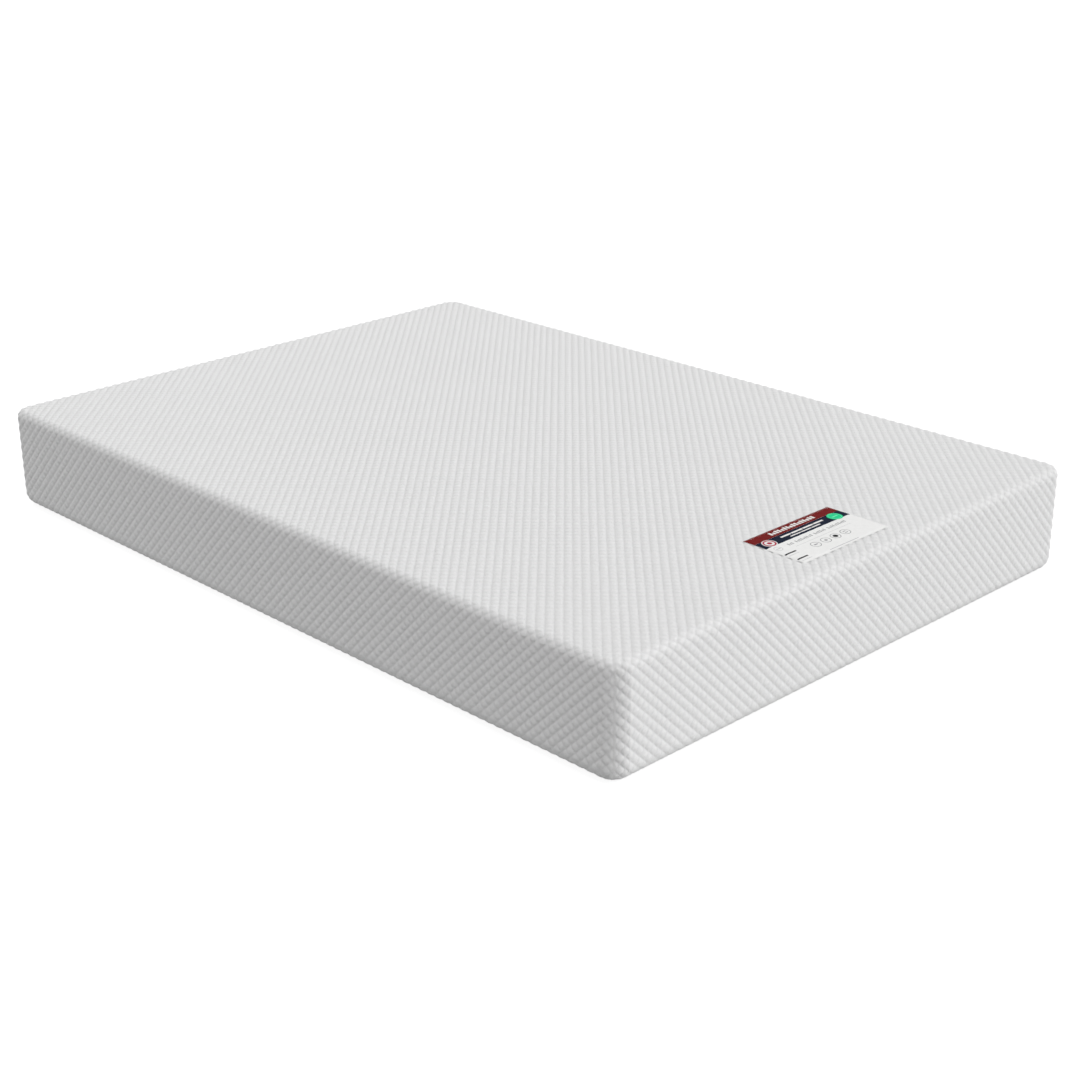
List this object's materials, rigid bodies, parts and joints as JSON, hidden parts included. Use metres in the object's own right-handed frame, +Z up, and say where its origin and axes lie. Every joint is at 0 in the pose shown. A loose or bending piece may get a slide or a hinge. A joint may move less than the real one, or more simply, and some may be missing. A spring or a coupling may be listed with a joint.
{
  "type": "memory foam mattress",
  "caption": "Rectangular foam mattress with a white bubble-knit zipped cover over a memory foam and reflex foam core.",
  "frame": {"origin": "centre of the underside, on the surface that the mattress rests on", "axes": "X across the bed with the zip on the +X long side, Y from the foot end, which has the printed label, to the head end, +Z up"},
  "size_m": [1.35, 1.9, 0.23],
  "materials": {
    "knit_cover": "white lofted bubble knit, matt with a soft sheen",
    "base_fabric": "plain off-white woven base cloth, matt",
    "white_thread": "twisted polyester thread, satin",
    "zip_tape": "herringbone woven tape, matt",
    "zip_coil": "nylon monofilament, satin",
    "zip_metal": "nickel-plated die casting, satin with rubbed edges",
    "printed_label": "printed satin ribbon cloth, maroon and navy bands over white",
    "tag_fabric": "blank white woven tag, satin",
    "sock_knit": "thin off-white fire-retardant stockinette, matt",
    "sock_thread": "overlocked thread, matt",
    "memory_foam": "fine open-cell slow-recovery foam, matt",
    "adhesive": "sprayed water-based adhesive web, satin",
    "reflex_foam": "coarse open-cell high-resilience foam, matt"
  },
  "bodies": {
    "mattress": {"top_cover": "knit_cover", "base_panel": "base_fabric", "base_seam": "white_thread", "corner_seam_foot_left": "white_thread", "corner_seam_foot_right": "white_thread", "corner_seam_head_left": "white_thread", "corner_seam_head_right": "white_thread", "zip_tape_upper": "zip_tape", "zip_tape_lower": "zip_tape", "zip_coil_upper": "zip_coil", "zip_coil_lower": "zip_coil", "zip_stitching": "white_thread", "zip_top_stops": "zip_metal", "zip_bottom_stop": "zip_metal", "top_label": "printed_label", "label_stitching": "white_thread", "care_tag": "tag_fabric", "care_tag_stitching": "white_thread", "inner_sock": "sock_knit", "sock_end_seam": "sock_thread", "memory_foam_layer": "memory_foam", "adhesive_film": "adhesive", "reflex_foam_base": "reflex_foam"},
    "zip_slider": {"zip_slider": "zip_metal"},
    "zip_pull": {"zip_pull": "zip_metal"}
  },
  "joints": [
    {"name": "zip_slide", "type": "slide", "parent": "mattress", "child": "zip_slider", "axis": [0, 1, 0], "range_m": [0, 1.675], "deforming": ["zip_coil_upper", "zip_coil_lower"]},
    {"name": "pull_hinge", "type": "hinge", "parent": "zip_slider", "child": "zip_pull", "pos_m": [0.67315, -0.8485, 0.064], "axis": [0, 0, -1], "range_deg": [0, 150]}
  ]
}
